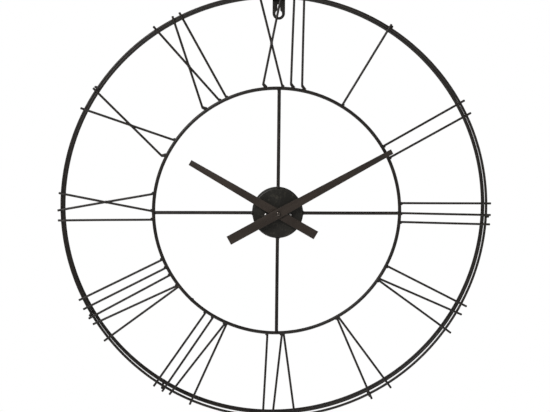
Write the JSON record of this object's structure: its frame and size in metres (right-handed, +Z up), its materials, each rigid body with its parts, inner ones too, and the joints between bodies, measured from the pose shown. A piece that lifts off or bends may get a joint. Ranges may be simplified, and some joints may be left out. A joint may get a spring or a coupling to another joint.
{
  "type": "wall clock",
  "caption": "Large open wall clock of black wire: Roman numerals of thin rods between an inner ring and a three-wire rim, hub with battery movement, two flat hands.",
  "frame": {"origin": "back face of the hanger plate, on its middle line, 4 mm above the top of the keyhole slot; this face lies on the wall", "axes": "+Z up, +X to the right as seen from the front, +Y into the wall (the dial faces -Y); the spindle axis is parallel to Y at z = -369.5 mm"},
  "size_m": [0.7703, 0.0481, 0.7705],
  "materials": {
    "black_wire": "satin brown-black powder coat on steel wire",
    "black_sheet": "satin olive-black powder coat on steel sheet",
    "hand_enamel": "satin dark brown enamel on sheet metal",
    "black_plastic": "fine spark-eroded black moulding",
    "white_nylon": "smooth natural nylon",
    "brass": "turned brass",
    "steel": "stamped electrical steel",
    "copper": "enamelled copper winding",
    "board_green": "solder mask",
    "cell_wrap": "printed-free cell sleeve",
    "magnet_black": "bonded magnet"
  },
  "bodies": {
    "root": {"numeral_1_i": "black_wire", "numeral_2_i_a": "black_wire", "numeral_2_i_b": "black_wire", "numeral_3_i_a": "black_wire", "numeral_3_i_b": "black_wire", "numeral_3_i_c": "black_wire", "numeral_4_i": "black_wire", "numeral_4_v": "black_wire", "numeral_5_v": "black_wire", "numeral_6_v": "black_wire", "numeral_6_i": "black_wire", "numeral_7_v": "black_wire", "numeral_7_i_a": "black_wire", "numeral_7_i_b": "black_wire", "numeral_8_v": "black_wire", "numeral_8_i_a": "black_wire", "numeral_8_i_b": "black_wire", "numeral_8_i_c": "black_wire", "numeral_9_i": "black_wire", "numeral_9_x": "black_wire", "numeral_10_x": "black_wire", "numeral_11_x": "black_wire", "numeral_11_i": "black_wire", "numeral_12_x": "black_wire", "numeral_12_i_a": "black_wire", "numeral_12_i_b": "black_wire", "front_ring": "black_wire", "middle_ring": "black_wire", "rear_ring": "black_wire", "inner_ring": "black_wire", "spoke_top": "black_wire", "spoke_right": "black_wire", "spoke_bottom": "black_wire", "spoke_left": "black_wire", "standoff_1": "black_wire", "standoff_2": "black_wire", "standoff_3": "black_wire", "standoff_4": "black_wire", "standoff_5": "black_wire", "hanger_plate": "black_sheet", "hub_cup": "black_sheet", "movement_case": "black_plastic", "movement_cover": "black_plastic", "washer": "brass", "neck_nut": "brass", "stator": "steel", "coil": "copper", "circuit_board": "board_green"},
    "minute": {"centre_wheel": "white_nylon", "minute_hand": "hand_enamel", "cap_nut": "hand_enamel"},
    "hour": {"hour_wheel": "white_nylon", "hour_hand": "hand_enamel"},
    "setting": {"setting_wheel": "white_nylon", "setting_knob": "black_plastic"},
    "third": {"third_wheel": "white_nylon"},
    "second": {"second_wheel": "white_nylon"},
    "step": {"step_wheel": "white_nylon"},
    "rotor": {"rotor": "magnet_black"},
    "cell": {"battery": "cell_wrap"}
  },
  "joints": [
    {"name": "minute_spin", "type": "hinge", "parent": "root", "child": "minute", "pos_m": [0, -0.03, -0.3695], "axis": [0, 1, 0], "continuous": true},
    {"name": "hour_spin", "type": "hinge", "parent": "root", "child": "hour", "pos_m": [0, -0.03, -0.3695], "axis": [0, 1, 0], "continuous": true},
    {"name": "setting_spin", "type": "hinge", "parent": "root", "child": "setting", "pos_m": [0.012, -0.03, -0.3695], "axis": [0, 1, 0], "continuous": true},
    {"name": "third_spin", "type": "hinge", "parent": "root", "child": "third", "pos_m": [-0.00935, -0.03, -0.3641], "axis": [0, 1, 0], "continuous": true},
    {"name": "second_spin", "type": "hinge", "parent": "root", "child": "second", "pos_m": [0, -0.03, -0.3695], "axis": [0, 1, 0], "continuous": true},
    {"name": "step_spin", "type": "hinge", "parent": "root", "child": "step", "pos_m": [0.00446, -0.03, -0.36111], "axis": [0, 1, 0], "continuous": true},
    {"name": "rotor_spin", "type": "hinge", "parent": "root", "child": "rotor", "pos_m": [0.01108, -0.03, -0.35759], "axis": [0, 1, 0], "continuous": true},
    {"name": "battery_slide", "type": "slide", "parent": "root", "child": "cell", "axis": [0, 1, 0], "range_m": [0, 0.018]}
  ],
  "couplings": [
    {"joint": "hour_spin", "follows": "minute_spin", "ratio": 0.083333},
    {"joint": "setting_spin", "follows": "minute_spin", "ratio": -0.33333},
    {"joint": "third_spin", "follows": "minute_spin", "ratio": -8},
    {"joint": "second_spin", "follows": "minute_spin", "ratio": 60},
    {"joint": "step_spin", "follows": "minute_spin", "ratio": -450},
    {"joint": "rotor_spin", "follows": "minute_spin", "ratio": 1800}
  ]
}
